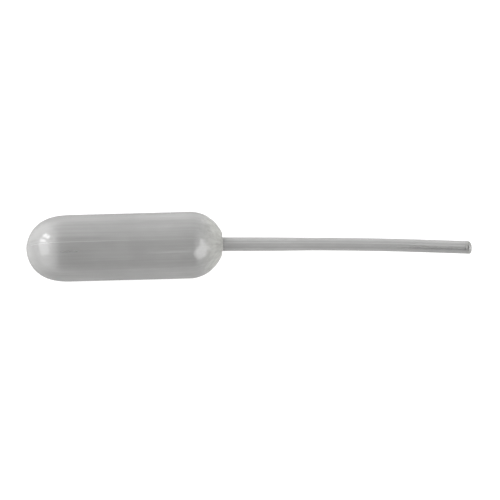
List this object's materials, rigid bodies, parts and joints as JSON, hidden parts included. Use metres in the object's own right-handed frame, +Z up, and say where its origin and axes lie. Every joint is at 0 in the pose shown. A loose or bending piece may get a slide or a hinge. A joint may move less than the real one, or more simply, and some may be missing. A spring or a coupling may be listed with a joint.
{
  "type": "transfer pipette",
  "caption": "Blow-moulded plastic transfer pipette: a thin-walled capsule bulb, squeezed by hand, draws liquid up a slender, slightly bent stem with an open, slantwise cut tip.",
  "frame": {"origin": "centre of the stem's open mouth, on the stem's axis", "axes": "+X along the bulb's axis towards the tip, +Z up with the pipette lying on its side on a bench, so that the mould's seam runs along the bulb's top and underside; the bulb lies at -X the stem bends gently towards -Y, and the slanted mouth opens towards +X and a little up"},
  "size_m": [0.107, 0.016, 0.0162],
  "materials": {
    "bulb_polyethylene": "natural low-density polyethylene, cloudy and translucent, glossy outside, with fine draw lines along the bulb",
    "stem_polyethylene": "natural low-density polyethylene, cloudy and translucent, glossy outside"
  },
  "bodies": {
    "bulb": {"bulb_shell": "bulb_polyethylene", "stem_root": "stem_polyethylene"},
    "front_wall": {"front_squeeze_wall": "bulb_polyethylene"},
    "rear_wall": {"rear_squeeze_wall": "bulb_polyethylene"},
    "stem": {"stem": "stem_polyethylene"}
  },
  "joints": [
    {"name": "front_squeeze", "type": "slide", "parent": "bulb", "child": "front_wall", "axis": [0, 1, 0], "range_m": [0, 0.0055], "stiffness_N_per_m": 20},
    {"name": "rear_squeeze", "type": "slide", "parent": "bulb", "child": "rear_wall", "axis": [0, -1, 0], "range_m": [0, 0.0055], "stiffness_N_per_m": 20},
    {"name": "stem_flex", "type": "hinge", "parent": "bulb", "child": "stem", "pos_m": [-0.04703, 0.00212, 0], "axis": [0, 0, 1], "range_deg": [-30, 30], "stiffness_Nm_per_rad": 0.03}
  ],
  "couplings": [
    {"joint": "rear_squeeze", "follows": "front_squeeze", "ratio": 1}
  ]
}
